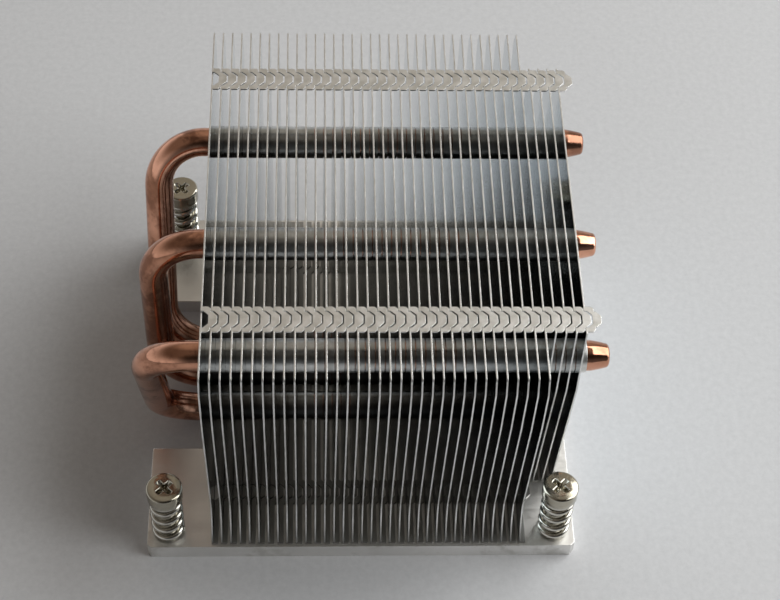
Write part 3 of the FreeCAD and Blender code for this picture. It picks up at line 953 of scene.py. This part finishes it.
def make_floor():
    """A wide pale board under the object."""
    material, tree, surface = new_material("pale board")
    place = tree.nodes.new("ShaderNodeTexCoord")
    speck = add_node(tree, "ShaderNodeTexNoise", inputs={
        "Vector": place.outputs["Object"], "Scale": SPECK_SCALE,
        "Detail": 4.0, "Roughness": 0.7}).outputs["Fac"]
    colour = mix(tree, "RGBA", speck, (*BOARD_DARK, 1), (*BOARD_LIGHT, 1))
    tree.links.new(colour, surface.inputs["Base Color"])
    surface.inputs["Roughness"].default_value = BOARD_ROUGHNESS
    bump = add_node(tree, "ShaderNodeBump", inputs={
        "Strength": 0.3, "Distance": SPECK_DEPTH, "Height": speck})
    tree.links.new(bump.outputs["Normal"], surface.inputs["Normal"])
    bpy.ops.mesh.primitive_plane_add(size=FLOOR_SIZE, location=(0, 0, 0))
    floor = bpy.context.object
    floor.name = "floor"
    floor.data.materials.append(material)
    return floor


floor = make_floor()
print("floor is", round(floor.dimensions.x, 1), "m wide")

# %% [markdown]
# ## The lamp
# Light on metal is mostly the shape of the lamp that it mirrors. One broad
# soft lamp stands on the right at middle height, like a window, so the
# shadows are soft and the sheared edges catch a line of light. A sun lamp
# would be simpler, but it would leave only small hard glints.

# %% Lamp
WINDOW_ROUND = math.radians(9)
WINDOW_HEIGHT_ANGLE = math.radians(39)
WINDOW_DISTANCE = 1.0
WINDOW_SIZE = (1.2, 1.1)
WINDOW_POWER = 13.7
WINDOW_COLOUR = (0.985, 1.0, 0.995)


def make_window():
    """A rectangular lamp that faces the object."""
    data = bpy.data.lights.new("window", "AREA")
    data.shape = "RECTANGLE"
    data.size, data.size_y = WINDOW_SIZE
    data.energy = WINDOW_POWER
    data.color = WINDOW_COLOUR
    lamp = bpy.data.objects.new("window", data)
    lamp.location = WINDOW_DISTANCE * Vector((
        math.cos(WINDOW_HEIGHT_ANGLE) * math.cos(WINDOW_ROUND),
        math.cos(WINDOW_HEIGHT_ANGLE) * math.sin(WINDOW_ROUND),
        math.sin(WINDOW_HEIGHT_ANGLE)))
    lamp.rotation_euler = (-lamp.location).to_track_quat(
        "-Z", "Y").to_euler()
    bpy.context.scene.collection.objects.link(lamp)
    return lamp


window = make_window()
print("window at", [round(v, 2) for v in window.location])

# %% [markdown]
# ## The room
# What the metal mirrors, apart from the lamp, is the room. A real room would
# need an image file, so this one is painted on the world with three broad
# gradients: pale near the horizon and brown overhead, a little lighter high
# up behind the object, and dark in front of it.

# %% Room
HORIZON_COLOUR = (0.66, 0.67, 0.68)
CEILING_COLOUR = (0.14, 0.12, 0.10)
CEILING_HEIGHT = (0.05, 0.65)
GLOW_TOWARDS = (0.1, 0.62, 0.79)
GLOW_COLOUR = (0.36, 0.32, 0.27)
GLOW_SPREAD = (0.72, 0.97)
DARK_TOWARDS = (0.35, -1.0, 0.35)
DARK_SPREAD = (0.5, 0.9)
DARK_STRENGTH = 0.15


def nearness(tree, direction):
    """One in a direction of the room, and less away from it."""
    place = tree.nodes.new("ShaderNodeTexCoord")
    node = add_node(tree, "ShaderNodeVectorMath", operation="DOT_PRODUCT",
                    inputs={0: place.outputs["Generated"],
                            1: Vector(direction).normalized()})
    return node.outputs["Value"]


def make_room():
    """A dim room: pale low down, brown above, dark in front."""
    world = bpy.data.worlds.new("room")
    bpy.context.scene.world = world
    world.use_nodes = True
    tree = world.node_tree
    sky = tree.nodes["Background"]
    up = ramp(tree, axis_of(tree, "Generated", "Z"), *CEILING_HEIGHT,
              curve="SMOOTHSTEP")
    tint = mix(tree, "RGBA", up, (*HORIZON_COLOUR, 1), (*CEILING_COLOUR, 1))
    glow = ramp(tree, nearness(tree, GLOW_TOWARDS), *GLOW_SPREAD,
                curve="SMOOTHSTEP")
    tint = mix(tree, "RGBA", glow, tint, (*GLOW_COLOUR, 1))
    tree.links.new(tint, sky.inputs["Color"])
    strength = ramp(tree, nearness(tree, DARK_TOWARDS), *DARK_SPREAD,
                    1.0, DARK_STRENGTH, curve="SMOOTHSTEP")
    tree.links.new(strength, sky.inputs["Strength"])
    return world


room = make_room()
print("room has", len(room.node_tree.nodes), "nodes")

# %% [markdown]
# ## Finish
# The colours are shown with the Standard view transform.

# %% Finish
bpy.context.scene.view_settings.view_transform = "Standard"
